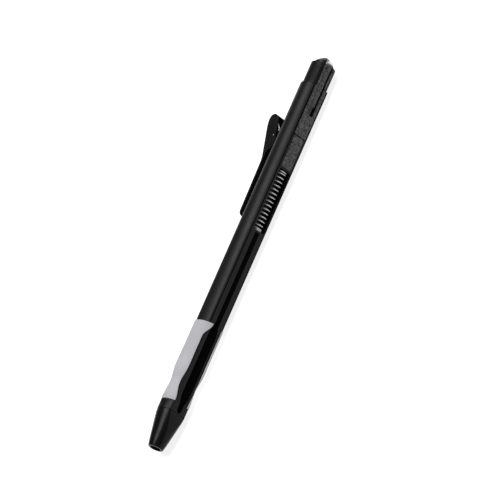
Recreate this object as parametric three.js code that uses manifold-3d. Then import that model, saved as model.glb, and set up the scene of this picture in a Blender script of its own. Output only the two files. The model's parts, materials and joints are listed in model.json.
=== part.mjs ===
// A retractable counterfeit-detector marker pen, lying on a table, in millimetres.
//
// Every piece is shaped in the pen's own frame: X runs along the pen from the nose (0) to the
// push button, Z is square to the long flat facet, and the clip is on the -Z side. The whole pen
// is then rolled on to its back edge, so that it lies on its grip and on one corner of the clip.

import * as THREE from 'three';
import { mergeVertices } from 'three/addons/utils/BufferGeometryUtils.js';
import Module from 'manifold-3d';

const wasm = await Module();
wasm.setup();

// ---------------------------------------------------------------- driving dimensions

const BARREL_R = 4.7;
const FACET_Z = 3.6;            // the flat facet's distance from the pen's axis
const GAP = 0.15;               // clearance between pieces that are fitted together
const SLIDE_GAP = 0.2;          // clearance round a piece that slides or turns

const NOSE_REAR = 12.6;
const GRIP_FRONT = 15.9;
const GRIP_REAR = 44.5;
const WINDOW_FRONT = 80.0;
const WINDOW_REAR = 102.5;
const PANEL_SEAM = 114.9;
const CHANNEL_FRONT = 122.9;
const STEP_X = 133.2;           // the barrel ends here and the narrower neck goes on
const NECK_REAR = 141.2;
const BUTTON_REAR = 144.0;
const PRESS = 2.6;              // travel of the push button

const NECK_R = 4.2;
const NECK_FACET_Z = 3.5;
const MAIN_BORE_R = 2.65;
const CHAMBER_R = 3.75;         // the spring's chamber
const CHAMBER_TOP_Z = 3.1;      // the chamber is flat under the facet
const CHAMBER_FRONT = 79.0;
const CHAMBER_REAR = 105.8;
const CAM_BORE_R = 2.95;
const CAM_BORE_REAR = 120.4;
const STEM_R = 2.55;
const STEM_BORE_R = STEM_R + SLIDE_GAP;
const CAP_R = 3.3;              // the button's wide head slides in a pocket in the neck
const CAP_FRONT = 138.9;
const POCKET_FRONT = CAP_FRONT - PRESS - 0.3;
const NECK_PLUG_FRONT = 129;    // the neck's plug reaches this far into the barrel
const NECK_PLUG_R = 3.1;
const NOSE_PLUG_REAR = 17.8;
const NOSE_PLUG_R = 2.85;

const GRIP_RECESS_R = 4.0;
const GRIP_INNER_R = GRIP_RECESS_R + GAP;
const GRIP_MAX_R = 5.06;
const GROOVE_FLOOR_Z = 3.15;
const GROOVE_HALF = 0.98;       // half width of the glossy strip along the barrel
const GROOVE_WIDE_HALF = 1.8;   // and between the edges of the grip
const GROOVE_FRONT = 13.0;
const PANEL_FLOOR_Z = 3.2;
const PANEL_HALF = 2.75;
const SEAM_HALF = 0.17;         // half width of the seam between the two panels
const WINDOW_HALF = 2.2;
const CHANNEL_HALF = 1.35;      // the open channel that the tongue slides in
const TONGUE_LEFT = 1.2;        // the tongue fills the channel's left side and leaves a slot on its right
const TONGUE_RIGHT = 0.8;
const TONGUE_NOSE_Z = 2.8;      // its low nose slides under the panel
const TONGUE_TOP_Z = 3.4;
const TONGUE_UNDER_Z = 1.95;
const TONGUE_FRONT = 122.0;
const TONGUE_REAR = 143.5;

const ROD_R = 1.6;
const CARTRIDGE_R = 2.4;
const CARTRIDGE_FRONT = 21;
const CARTRIDGE_REAR = 75.1;
const SPRING_MEAN_R = 3.25;
const SPRING_WIRE_R = 0.3;
const SPRING_TURNS = 17;
const SPRING_REAR = 102.5;

const GUIDE_FRONT = 108.6;      // the ribbed sleeve that steers the rotor
const GUIDE_REAR = 116.8;
const GUIDE_INNER_R = 2.3;
const ROTOR_FRONT = 110.2;
const ROTOR_REAR = 115.1;
const ROTOR_CORE_R = 1.55;
const STEM_FRONT = 115.3;       // the button's stem starts just behind the rotor
const STEM_TIP_R = 1.9;
const NIB_R = 1.45;
const NIB_REAR = 22.05;
const NIB_HOLDER_FRONT = 8.8;
const SEAL_FRONT = 2.65;

const CLIP_HALF = 3.1;          // half width of the clip
const CLIP_SHEET = 0.65;
const CLIP_FRONT = 84.2;
const CLIP_ARM_R = 5.92;        // outside of the straight arm at its tip, measured from the pen's axis
const CLIP_ARM_SLOPE = 0.0273;
const CLIP_BEND = 103.5;        // the tab starts to flare here
const CLIP_BLEND = 3;           // length of the curve between the arm and the tab
const CLIP_PEAK = 118.3;        // where the tab's rounded end starts
const CLIP_REAR = 121.6;
const CLIP_TAB_R = 11.3;        // the tab's distance from the pen's axis at CLIP_PEAK
const CLIP_EDGE_SLOPE = 0.42;   // how fast the flanges' free edge leaves the barrel
const PIVOT_X = 114;
const PIVOT_R = 6.2;
const PIN_R = 0.38;
const PIN_HOLE_R = 0.52;
const BRACKET_HALF = 2.25;
const BRACKET_SEAT_R = 4.05;    // flat seat cut into the barrel for the clip's bracket

const ROUND = 48;               // sides of the large turned pieces
const SMALL_ROUND = 24;

// ---------------------------------------------------------------- solids

function signedVolume(positions, index) {
  const a = new THREE.Vector3();
  const b = new THREE.Vector3();
  const c = new THREE.Vector3();
  let volume = 0;
  for (let i = 0; i < index.length; i += 3) {
    a.fromArray(positions, 3 * index[i]);
    b.fromArray(positions, 3 * index[i + 1]);
    c.fromArray(positions, 3 * index[i + 2]);
    volume += a.dot(b.cross(c)) / 6;
  }
  return volume;
}

// A geometry as a solid for joining and cutting: shared corners merged, slivers on an axis dropped,
// and every face turned outwards.
function solid(geometry) {
  const plain = geometry.clone();
  plain.deleteAttribute('normal');
  plain.deleteAttribute('uv');
  const merged = mergeVertices(plain, 1e-4);
  const positions = merged.attributes.position.array;
  const kept = [];
  const source = merged.index.array;
  for (let i = 0; i < source.length; i += 3) {
    const [a, b, c] = [source[i], source[i + 1], source[i + 2]];
    if (a !== b && b !== c && c !== a) kept.push(a, b, c);
  }
  if (signedVolume(positions, kept) < 0) kept.reverse();
  return new wasm.Manifold(new wasm.Mesh({
    numProp: 3,
    vertProperties: Float32Array.from(positions),
    triVerts: Uint32Array.from(kept),
  }));
}

function geometryOf(body) {
  const mesh = body.getMesh();
  const geometry = new THREE.BufferGeometry();
  geometry.setAttribute('position', new THREE.BufferAttribute(mesh.vertProperties, 3));
  geometry.setIndex(new THREE.BufferAttribute(mesh.triVerts, 1));
  geometry.computeVertexNormals();
  return geometry;
}

// A solid of revolution about the pen's axis. outline is a list of [x, radius].
function turned(outline, sides = ROUND) {
  const points = outline.map(([x, radius]) => new THREE.Vector2(radius, x));
  return solid(new THREE.LatheGeometry(points, sides).rotateZ(-Math.PI / 2));
}

function rod(x0, x1, radius, sides = ROUND) {
  return turned([[x0, 0], [x0, radius], [x1, radius], [x1, 0]], sides);
}

function ring(x0, x1, outer, inner, sides = ROUND) {
  return turned([[x0, inner], [x0, outer], [x1, outer], [x1, inner], [x0, inner]], sides);
}

function block(x0, x1, y0, y1, z0, z1) {
  const box = new THREE.BoxGeometry(x1 - x0, y1 - y0, z1 - z0);
  return solid(box.translate((x0 + x1) / 2, (y0 + y1) / 2, (z0 + z1) / 2));
}

// A block standing out from the axis, turned about the axis by an angle in degrees.
function spoke(x0, x1, y0, y1, half, degrees) {
  const box = new THREE.BoxGeometry(x1 - x0, y1 - y0, 2 * half);
  box.translate((x0 + x1) / 2, (y0 + y1) / 2, 0);
  return solid(box.rotateX(THREE.MathUtils.degToRad(degrees)));
}

// An outline in X and Y, raised from z0 to z1.
function raised(shape, z0, z1) {
  const options = { depth: z1 - z0, bevelEnabled: false, curveSegments: 12 };
  return solid(new THREE.ExtrudeGeometry(shape, options).translate(0, 0, z0));
}

// A side outline in X and in distance below the axis, given a width across the pen.
function sidewall(shape, right, left = right) {
  const options = { depth: right + left, bevelEnabled: false, curveSegments: 10 };
  const geometry = new THREE.ExtrudeGeometry(shape, options);
  return solid(geometry.rotateX(-Math.PI / 2).translate(0, -right, 0));
}

// Everything over a height, to cut a flat.
function above(z, x0 = -5, x1 = BUTTON_REAR + 5) {
  return block(x0, x1, -9, 9, z, 9);
}

function smooth(t) {
  const s = Math.min(Math.max(t, 0), 1);
  return s * s * (3 - 2 * s);
}

// ---------------------------------------------------------------- outlines on the facet

// The two edges of the grip's opening, as distances from the facet's middle. The left edge lies down
// the pen's side and comes in at the rear; the right edge lies over the facet's corner.
function gripLeft(x) {
  const rear = smooth((GRIP_REAR - x) / 5);
  const front = smooth((x - GRIP_FRONT) / 6);
  return 1.9 + 1.6 * rear - 0.4 * (1 - front);
}

function gripRight(x) {
  return 2.65 - 0.35 * (1 - smooth((x - GRIP_FRONT) / 6));
}

function gripOpening(x0, x1, gap) {
  const steps = 30;
  const at = (k) => x0 + ((x1 - x0) * k) / steps;
  const shape = new THREE.Shape();
  shape.moveTo(x0, -gripRight(x0) - gap);
  for (let k = 1; k <= steps; k++) shape.lineTo(at(k), -gripRight(at(k)) - gap);
  for (let k = steps; k >= 0; k--) shape.lineTo(at(k), gripLeft(at(k)) + gap);
  return raised(shape, 0, 9);
}

// Half width of the groove for the glossy strip: wide inside the grip, narrow along the barrel.
function grooveHalf(x) {
  const wide = smooth((GRIP_REAR + 1 - x) / 4) * smooth((x - GRIP_FRONT + 0.5) / 4);
  return GROOVE_HALF + (GROOVE_WIDE_HALF - GROOVE_HALF) * wide;
}

// A band along the pen whose half width follows a function; round ends where asked.
function band(x0, x1, half, steps, shrink = 0, roundFront = false) {
  const shape = new THREE.Shape();
  const start = x0 + shrink;
  const end = x1 - shrink;
  const at = (k) => start + ((end - start) * k) / steps;
  const width = (x) => {
    const fromFront = x - start;
    const full = half(x) - shrink;
    if (!roundFront || fromFront >= full) return full;
    return Math.sqrt(Math.max(full * full - (full - fromFront) ** 2, 0)) + 0.02;
  };
  shape.moveTo(start, -width(start));
  for (let k = 1; k <= steps; k++) shape.lineTo(at(k), -width(at(k)));
  for (let k = steps; k >= 0; k--) shape.lineTo(at(k), width(at(k)));
  return shape;
}

function grooveSolid(z0, z1, shrink) {
  const nearEnd = GRIP_REAR + 4;
  const wide = raised(band(GROOVE_FRONT, nearEnd, grooveHalf, 60, shrink, true), z0, z1);
  const rearEnd = WINDOW_FRONT - 0.6 - shrink;
  const half = GROOVE_HALF - shrink;
  return wide.add(block(nearEnd - shrink - 0.5, rearEnd, -half, half, z0, z1));
}

// ---------------------------------------------------------------- fixed pieces

function barrel() {
  const skin = turned([
    [NOSE_REAR + GAP, 0], [NOSE_REAR + GAP, BARREL_R], [STEP_X - 0.3, BARREL_R],
    [STEP_X, BARREL_R - 0.3], [STEP_X, 0],
  ]);
  const recess = ring(GRIP_FRONT, GRIP_REAR, BARREL_R + 1, GRIP_RECESS_R);
  const rail = gripOpening(GRIP_FRONT - 1, GRIP_REAR + 1, 0);
  const bore = turned([
    [10, 0], [10, NOSE_PLUG_R + GAP], [NOSE_PLUG_REAR + GAP, NOSE_PLUG_R + GAP],
    [NOSE_PLUG_REAR + GAP, MAIN_BORE_R], [CHAMBER_REAR - 1, MAIN_BORE_R],
    [CHAMBER_REAR - 1, CAM_BORE_R], [CAM_BORE_REAR, CAM_BORE_R], [CAM_BORE_REAR, STEM_BORE_R],
    [NECK_PLUG_FRONT - GAP, STEM_BORE_R], [NECK_PLUG_FRONT - GAP, NECK_PLUG_R + GAP],
    [STEP_X + 2, NECK_PLUG_R + GAP], [STEP_X + 2, 0],
  ]);
  const chamber = rod(CHAMBER_FRONT, CHAMBER_REAR, CHAMBER_R).subtract(above(CHAMBER_TOP_Z));
  const window = block(WINDOW_FRONT, WINDOW_REAR, -WINDOW_HALF, WINDOW_HALF, 2, 9);
  const panels = block(WINDOW_REAR + 0.6, STEP_X + 2, -PANEL_HALF, PANEL_HALF, PANEL_FLOOR_Z, 9);
  const channel = block(CHANNEL_FRONT, STEP_X + 2, -CHANNEL_HALF, CHANNEL_HALF, 1, 9);
  const keyway = block(TONGUE_FRONT - PRESS - 0.4, STEP_X + 2, -CHANNEL_HALF, CHANNEL_HALF,
    TONGUE_UNDER_Z - SLIDE_GAP, TONGUE_NOSE_Z + 0.15);
  const seat = block(PIVOT_X - 4, PIVOT_X + 4, -2.6, 2.6, -9, -BRACKET_SEAT_R);
  return skin.subtract(recess.subtract(rail)).subtract(above(FACET_Z)).subtract(bore)
    .subtract(chamber).subtract(window).subtract(panels).subtract(channel).subtract(keyway)
    .subtract(seat).subtract(grooveSolid(GROOVE_FLOOR_Z, 9, 0));
}

function noseCone() {
  const body = turned([
    [0, 1.78], [0, 2.45], [0.12, 2.62], [0.4, 2.76], [2, 3.02], [5, 3.53], [8, 4.03], [10.5, 4.42],
    [11.6, 4.58], [NOSE_REAR, BARREL_R], [NOSE_REAR, NOSE_PLUG_R], [NOSE_PLUG_REAR, NOSE_PLUG_R],
    [NOSE_PLUG_REAR, MAIN_BORE_R], [6, MAIN_BORE_R], [4.1, 2.3], [2.5, 2.3], [2.5, 1.78], [0, 1.78],
  ]);
  return body.subtract(above(FACET_Z));
}

function gripSleeve() {
  const profile = new THREE.SplineCurve([
    [GRIP_FRONT + GAP, 4.78], [17.3, 4.84], [19.6, 4.66], [22, 4.48], [23.8, 4.48], [25.9, 4.8],
    [28.4, GRIP_MAX_R], [33, 5.02], [38, 5], [GRIP_REAR - GAP - 0.5, 4.96], [GRIP_REAR - GAP, 4.8],
  ].map(([x, radius]) => new THREE.Vector2(x, radius)));
  const outside = profile.getPoints(26).map((p) => [p.x, Math.min(p.y, GRIP_MAX_R)]);
  const [front, rear] = [outside[0][0], outside[outside.length - 1][0]];
  const sleeve = turned([[front, GRIP_INNER_R], ...outside, [rear, GRIP_INNER_R], [front, GRIP_INNER_R]]);
  return sleeve.subtract(gripOpening(GRIP_FRONT - 1, GRIP_REAR + 1, GAP));
}

function glossStrip() {
  return grooveSolid(GROOVE_FLOOR_Z + 0.05, FACET_Z - 0.14, 0.1);
}

function windowPanel() {
  const half = PANEL_HALF - 0.1;
  return block(WINDOW_REAR + 0.7, PANEL_SEAM - SEAM_HALF, -half, half, PANEL_FLOOR_Z + 0.05, FACET_Z);
}

function upperPanel() {
  const half = PANEL_HALF - 0.1;
  const slab = block(PANEL_SEAM + SEAM_HALF, STEP_X - 0.05, -half, half, PANEL_FLOOR_Z + 0.05, FACET_Z);
  return slab.subtract(block(CHANNEL_FRONT, STEP_X + 2, -CHANNEL_HALF, CHANNEL_HALF, 1, 9));
}

function neckSleeve() {
  const body = turned([
    [NECK_PLUG_FRONT, STEM_BORE_R], [NECK_PLUG_FRONT, NECK_PLUG_R], [STEP_X + GAP, NECK_PLUG_R],
    [STEP_X + GAP, NECK_R], [NECK_REAR - 0.45, NECK_R], [NECK_REAR - 0.12, NECK_R - 0.2],
    [NECK_REAR, NECK_R - 0.5], [NECK_REAR, STEM_BORE_R], [NECK_PLUG_FRONT, STEM_BORE_R],
  ]);
  const pocket = rod(POCKET_FRONT, NECK_REAR + 1, CAP_R + SLIDE_GAP).subtract(above(TONGUE_UNDER_Z));
  const channel = block(NECK_PLUG_FRONT - 1, NECK_REAR + 1, -CHANNEL_HALF, CHANNEL_HALF, 1, 9);
  return body.subtract(above(NECK_FACET_Z)).subtract(pocket).subtract(channel);
}

function camGuide() {
  const body = ring(GUIDE_FRONT, GUIDE_REAR, CAM_BORE_R - GAP, GUIDE_INNER_R, SMALL_ROUND);
  const slot = [GUIDE_FRONT - 0.6, GUIDE_FRONT + 4.4, GUIDE_INNER_R - 0.4, GUIDE_INNER_R + 0.25, 0.4];
  const slots = [0, 90, 180, 270].map((degrees) => spoke(...slot, degrees));
  return slots.reduce((left, slot) => left.subtract(slot), body);
}

function springWasher() {
  return ring(CHAMBER_FRONT + 0.1, CHAMBER_FRONT + 0.75, CHAMBER_R - GAP, ROD_R + SLIDE_GAP)
    .subtract(above(CHAMBER_TOP_Z - 0.1));
}

function nibSeal() {
  const [front, rear] = [SEAL_FRONT, SEAL_FRONT + 1.3];
  const lip = NIB_R + 0.13;
  return turned([
    [front, lip + 0.1], [front, 2.15], [rear, 2.15], [rear, lip + 0.1], [rear - 0.45, lip],
    [front + 0.45, lip], [front, lip + 0.1],
  ], SMALL_ROUND);
}

// ---------------------------------------------------------------- the return spring

class Coil extends THREE.Curve {
  constructor(x0, x1, radius, turns, closedTurns) {
    super();
    Object.assign(this, { x0, x1, radius, turns, closedTurns });
  }

  // The end turns lie close together, as on a ground spring.
  getPoint(t, target = new THREE.Vector3()) {
    const turn = t * this.turns;
    const closed = 2.15 * SPRING_WIRE_R;
    const open = (this.x1 - this.x0 - 2 * closed * this.closedTurns)
      / (this.turns - 2 * this.closedTurns);
    const first = Math.min(turn, this.closedTurns);
    const last = Math.max(turn - (this.turns - this.closedTurns), 0);
    const x = this.x0 + closed * (first + last) + open * (turn - first - last);
    const angle = 2 * Math.PI * turn;
    return target.set(x, this.radius * Math.cos(angle), this.radius * Math.sin(angle));
  }
}

function returnSpring() {
  const front = CHAMBER_FRONT + 0.95 + SPRING_WIRE_R;
  const path = new Coil(front, SPRING_REAR - SPRING_WIRE_R, SPRING_MEAN_R, SPRING_TURNS, 1.5);
  return wire(path, SPRING_WIRE_R, SPRING_TURNS * 14, 6);
}

function wire(path, radius, steps, sides) {
  const section = new THREE.Shape();
  for (let k = 0; k < sides; k++) {
    const angle = (2 * Math.PI * k) / sides;
    const [x, y] = [radius * Math.cos(angle), radius * Math.sin(angle)];
    if (k === 0) section.moveTo(x, y);
    else section.lineTo(x, y);
  }
  return solid(new THREE.ExtrudeGeometry(section, { steps, extrudePath: path, bevelEnabled: false }));
}

// ---------------------------------------------------------------- the push button

function pushButton() {
  const stem = turned([
    [STEM_FRONT, 0], [STEM_FRONT, 1.5], [STEM_FRONT + 0.6, STEM_TIP_R], [STEM_FRONT + 3, STEM_TIP_R],
    [STEM_FRONT + 5.6, STEM_R], [CAP_FRONT, STEM_R], [CAP_FRONT, CAP_R], [BUTTON_REAR - 2.4, CAP_R],
    [BUTTON_REAR - 2, 3.15], [BUTTON_REAR - 1.5, 2.75], [BUTTON_REAR - 0.9, 2.1],
    [BUTTON_REAR - 0.4, 1.4], [BUTTON_REAR - 0.1, 0.7], [BUTTON_REAR, 0],
  ]);
  const flat = block(TONGUE_FRONT - 0.1, BUTTON_REAR + 1, -9, 9, TONGUE_UNDER_Z - 0.1, 9);
  return stem.subtract(flat);
}

function tongue() {
  const side = new THREE.Shape();
  side.moveTo(TONGUE_FRONT, -TONGUE_UNDER_Z);
  const ramp = CHANNEL_FRONT + PRESS + 0.1;
  side.lineTo(TONGUE_FRONT, 0.1 - TONGUE_NOSE_Z);
  side.lineTo(TONGUE_FRONT + 0.4, -TONGUE_NOSE_Z);
  side.lineTo(ramp, -TONGUE_NOSE_Z);
  side.lineTo(ramp + 0.9, -TONGUE_TOP_Z);
  side.lineTo(TONGUE_REAR - 1.9, -TONGUE_TOP_Z);
  side.quadraticCurveTo(TONGUE_REAR - 0.3, -TONGUE_TOP_Z, TONGUE_REAR, -TONGUE_UNDER_Z);
  return sidewall(side, TONGUE_RIGHT, TONGUE_LEFT);
}

// ---------------------------------------------------------------- the refill

function inkCartridge() {
  return ring(CARTRIDGE_FRONT, CARTRIDGE_REAR, CARTRIDGE_R, CARTRIDGE_R - 0.4, SMALL_ROUND);
}

function inkReservoir() {
  return rod(CARTRIDGE_FRONT + 1.2, CARTRIDGE_REAR - 1.2, CARTRIDGE_R - 0.4 - GAP, SMALL_ROUND);
}

function nibHolder() {
  const [front, rear] = [NIB_HOLDER_FRONT, CARTRIDGE_FRONT - GAP];
  const inner = NIB_R + SLIDE_GAP;
  return turned([
    [front, inner], [front, 1.9], [front + 1.7, 2.1], [front + 3.7, 2.3], [rear, 2.3], [rear, inner],
    [front, inner],
  ], SMALL_ROUND);
}

function fibreNib() {
  return turned([
    [0.7, 0], [0.75, 0.45], [1.1, 0.95], [1.8, 1.35], [2.4, NIB_R], [NIB_REAR, NIB_R], [NIB_REAR, 0],
  ], SMALL_ROUND);
}

function endPlug() {
  return turned([
    [CARTRIDGE_REAR - 1, 0], [CARTRIDGE_REAR - 1, CARTRIDGE_R - 0.4 - GAP],
    [CARTRIDGE_REAR + GAP, CARTRIDGE_R - 0.4 - GAP], [CARTRIDGE_REAR + GAP, CARTRIDGE_R],
    [CARTRIDGE_REAR + 1.4, CARTRIDGE_R], [CARTRIDGE_REAR + 1.9, 1.9], [CARTRIDGE_REAR + 1.9, 0],
  ], SMALL_ROUND);
}

function plungerRod() {
  const [front, rear] = [CARTRIDGE_REAR + 2.05, ROTOR_FRONT - 0.2];
  return turned([
    [front, 0], [front, 1.3], [front + 0.35, ROD_R], [rear - 0.4, ROD_R], [rear, 1.3], [rear, 0],
  ], SMALL_ROUND);
}

function springCollar() {
  return ring(SPRING_REAR + 0.35, SPRING_REAR + 1.6, CHAMBER_R - SLIDE_GAP, ROD_R + GAP)
    .subtract(above(CHAMBER_TOP_Z - SLIDE_GAP));
}

function camRotor() {
  const core = turned([
    [ROTOR_FRONT, 0], [ROTOR_FRONT, 1.2], [ROTOR_FRONT + 0.4, ROTOR_CORE_R],
    [ROTOR_REAR - 0.9, ROTOR_CORE_R], [ROTOR_REAR - 0.2, 0.9], [ROTOR_REAR, 0],
  ], SMALL_ROUND);
  const rib = [ROTOR_FRONT + 0.7, ROTOR_REAR - 1.2, ROTOR_CORE_R - 0.35, ROTOR_CORE_R + 0.5, 0.3];
  const ribs = [45, 135, 225, 315].map((degrees) => spoke(...rib, degrees));
  return ribs.reduce((whole, next) => whole.add(next), core);
}

// ---------------------------------------------------------------- the clip

// Outside of the straight arm, as distance from the pen's axis.
function armOutside(x) {
  return CLIP_ARM_R + CLIP_ARM_SLOPE * (x - CLIP_FRONT);
}

const clipSlope = (CLIP_TAB_R - armOutside(CLIP_PEAK)) / (CLIP_PEAK - CLIP_BEND - CLIP_BLEND / 2);

// Outside of the whole clip: the straight arm, a curve, a straight tab.
function clipOutside(x) {
  const past = Math.max(x - CLIP_BEND, 0);
  if (past < CLIP_BLEND) return armOutside(x) + (clipSlope * past * past) / (2 * CLIP_BLEND);
  return armOutside(x) + clipSlope * (past - CLIP_BLEND / 2);
}

// Draws the outside of the tab and its rounded end on to a side outline, inset by the sheet or not.
function drawTab(shape, from, inset) {
  const round = CLIP_PEAK - 0.6;
  const steps = 16;
  for (let k = 0; k <= steps; k++) {
    const x = from + ((round - from) * k) / steps;
    shape.lineTo(x, clipOutside(x) - inset);
  }
  shape.quadraticCurveTo(round + 2.5, clipOutside(round + 2.5) - 1.2 * inset,
    CLIP_REAR - inset, flangeEdge(CLIP_REAR) + 1.6 - inset);
}

// The free edge of the side flanges starts just clear of the barrel and leaves it past the pin.
function flangeEdge(x) {
  return BRACKET_SEAT_R + 0.1 + CLIP_EDGE_SLOPE * Math.max(x - PIVOT_X + 1.8, 0);
}

// A round bar across the pen at the clip's pivot.
function pinShape(radius, length) {
  const bar = new THREE.CylinderGeometry(radius, radius, length, 20);
  return solid(bar.translate(PIVOT_X, 0, -PIVOT_R));
}

function clip() {
  const outline = new THREE.Shape();
  const heel = PIVOT_X - 6;
  outline.moveTo(CLIP_FRONT, armOutside(CLIP_FRONT) - CLIP_SHEET);
  outline.quadraticCurveTo(CLIP_FRONT, CLIP_ARM_R, CLIP_FRONT + 1.2, armOutside(CLIP_FRONT + 1.2));
  drawTab(outline, CLIP_BEND, 0);
  outline.quadraticCurveTo(CLIP_REAR, flangeEdge(CLIP_REAR), CLIP_REAR - 1.8, flangeEdge(CLIP_REAR - 1.8));
  outline.lineTo(PIVOT_X - 1.8, flangeEdge(PIVOT_X - 1.8));
  outline.lineTo(PIVOT_X - 3, flangeEdge(PIVOT_X - 3));
  outline.quadraticCurveTo(PIVOT_X - 5, flangeEdge(PIVOT_X - 3), heel, armOutside(heel) - CLIP_SHEET);
  const pocket = new THREE.Shape();
  pocket.moveTo(CLIP_BEND + 1.5, 0);
  drawTab(pocket, CLIP_BEND + 1.5, CLIP_SHEET);
  pocket.lineTo(CLIP_REAR - CLIP_SHEET, 0);
  return sidewall(outline, CLIP_HALF).subtract(sidewall(pocket, CLIP_HALF - 0.55))
    .subtract(pinShape(PIN_HOLE_R, 10));
}

function clipBracket() {
  const base = block(PIVOT_X - 3.6, PIVOT_X + 3.6, -BRACKET_HALF, BRACKET_HALF,
    -BRACKET_SEAT_R - 0.65, -BRACKET_SEAT_R - 0.05);
  const ear = new THREE.Shape();
  ear.moveTo(PIVOT_X - 2.4, BRACKET_SEAT_R + 0.1);
  ear.lineTo(PIVOT_X - 1.1, PIVOT_R);
  ear.absarc(PIVOT_X, PIVOT_R, 1.1, Math.PI, 0, true);
  ear.lineTo(PIVOT_X + 2.4, BRACKET_SEAT_R + 0.1);
  const between = BRACKET_HALF - 0.65;
  const gap = block(PIVOT_X - 5, PIVOT_X + 5, -between, between, -9, -BRACKET_SEAT_R - 0.65);
  return base.add(sidewall(ear, BRACKET_HALF).subtract(gap)).subtract(pinShape(PIN_R + 0.07, 10));
}

function clipPin() {
  return pinShape(PIN_R, 2 * CLIP_HALF - 0.1);
}

// The clip's torsion spring: a leg on the bracket, the coil round the pin, and a leg whose end turns
// out to the tab.
class TorsionWire extends THREE.Curve {
  getPoint(t, target = new THREE.Vector3()) {
    const radius = 0.95;
    const turns = 2.5;
    const half = 1.15;
    const legShare = 0.2;
    if (t < legShare) {
      const back = (legShare - t) / legShare;
      return target.set(PIVOT_X + 3.1 * back, -half, 2 * back - radius - PIVOT_R);
    }
    if (t > 1 - legShare) {
      const on = (t - 1 + legShare) / legShare;
      const out = PIVOT_R - radius + 1.95 * on + 3.2 * on ** 8;
      return target.set(PIVOT_X + 5.5 * on, half + 1.15 * on, -out);
    }
    const along = (t - legShare) / (1 - 2 * legShare);
    const angle = Math.PI * (0.5 + 2 * turns * along);
    return target.set(PIVOT_X + radius * Math.cos(angle), half * (2 * along - 1),
      -radius * Math.sin(angle) - PIVOT_R);
  }
}

function clipSpring() {
  return wire(new TorsionWire(), 0.22, 70, 6);
}

// ---------------------------------------------------------------- materials and assembly

const finishes = {
  black: { color: 0x1c1c1e, roughness: 0.5, metalness: 0 },
  panel: { color: 0x333335, roughness: 0.8, metalness: 0 },
  gloss: { color: 0x050505, roughness: 0.12, metalness: 0 },
  rubber: { color: 0xbdbdc4, roughness: 0.75, metalness: 0 },
  steel: { color: 0xd0d0d0, roughness: 0.25, metalness: 1 },
  white: { color: 0xeeeeea, roughness: 0.5, metalness: 0 },
  felt: { color: 0xe9e2cc, roughness: 0.95, metalness: 0 },
  seal: { color: 0x2a2a2a, roughness: 0.8, metalness: 0 },
};

const pieces = [
  ['barrel', barrel, 'black'], ['nose_cone', noseCone, 'black'], ['grip_sleeve', gripSleeve, 'rubber'],
  ['gloss_strip', glossStrip, 'gloss'], ['window_panel', windowPanel, 'panel'],
  ['upper_panel', upperPanel, 'panel'], ['neck_sleeve', neckSleeve, 'black'],
  ['cam_guide', camGuide, 'white'], ['spring_washer', springWasher, 'steel'],
  ['nib_seal', nibSeal, 'seal'], ['return_spring', returnSpring, 'steel'],
  ['clip_bracket', clipBracket, 'black'], ['clip_pin', clipPin, 'steel'],
  ['clip_spring', clipSpring, 'steel'],
  ['push_button', pushButton, 'black'], ['tongue', tongue, 'panel'],
  ['ink_cartridge', inkCartridge, 'white'], ['ink_reservoir', inkReservoir, 'felt'],
  ['nib_holder', nibHolder, 'white'], ['fibre_nib', fibreNib, 'felt'], ['end_plug', endPlug, 'white'],
  ['plunger_rod', plungerRod, 'seal'], ['spring_collar', springCollar, 'seal'],
  ['cam_rotor', camRotor, 'white'], ['clip', clip, 'black'],
];

const pen = new THREE.Group();
for (const [name, make, finish] of pieces) {
  const mesh = new THREE.Mesh(geometryOf(make()), new THREE.MeshStandardMaterial(finishes[finish]));
  mesh.name = name;
  pen.add(mesh);
}

// The pen lies on its grip and on the lower corner of the clip's tab, with its axis level.
const corner = Math.hypot(CLIP_HALF, CLIP_TAB_R);
const roll = Math.atan2(CLIP_HALF, CLIP_TAB_R) + Math.acos((GRIP_MAX_R - 0.02) / corner);
pen.rotation.x = roll;

const object = new THREE.Group();
object.add(pen);
object.updateMatrixWorld(true);
const box = new THREE.Box3().setFromObject(object, true);
pen.position.set(-(box.min.x + box.max.x) / 2, -(box.min.y + box.max.y) / 2, -box.min.z);

export default object;
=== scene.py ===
"""A counterfeit detector pen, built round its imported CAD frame.

Pieces are shaped in the pen's own frame, in millimetres: X from the nose (0) to the push button,
Z square to the long flat facet, the clip on the -Z side. PEN carries them into the row frame.
"""
import json
import math

import bmesh
import bpy
from mathutils import Matrix, Vector

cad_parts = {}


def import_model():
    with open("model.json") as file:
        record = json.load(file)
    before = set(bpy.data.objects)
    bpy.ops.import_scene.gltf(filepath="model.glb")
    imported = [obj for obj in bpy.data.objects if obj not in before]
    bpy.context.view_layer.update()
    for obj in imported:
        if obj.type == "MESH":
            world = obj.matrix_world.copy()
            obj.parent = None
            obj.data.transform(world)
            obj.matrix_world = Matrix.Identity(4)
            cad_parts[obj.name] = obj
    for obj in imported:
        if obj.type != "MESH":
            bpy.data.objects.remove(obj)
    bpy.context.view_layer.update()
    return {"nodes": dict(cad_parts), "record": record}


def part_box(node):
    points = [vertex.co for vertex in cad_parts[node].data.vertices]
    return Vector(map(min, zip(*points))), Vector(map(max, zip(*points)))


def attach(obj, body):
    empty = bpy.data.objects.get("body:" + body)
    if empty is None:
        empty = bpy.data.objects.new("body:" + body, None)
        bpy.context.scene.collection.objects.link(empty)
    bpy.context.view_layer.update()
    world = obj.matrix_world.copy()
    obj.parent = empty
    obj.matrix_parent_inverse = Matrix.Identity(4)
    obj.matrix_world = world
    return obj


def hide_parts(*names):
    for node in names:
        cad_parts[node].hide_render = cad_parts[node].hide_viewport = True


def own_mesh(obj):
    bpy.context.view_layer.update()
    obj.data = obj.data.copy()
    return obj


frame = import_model()

# ---------------------------------------------------------------- the pen's frame

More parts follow.
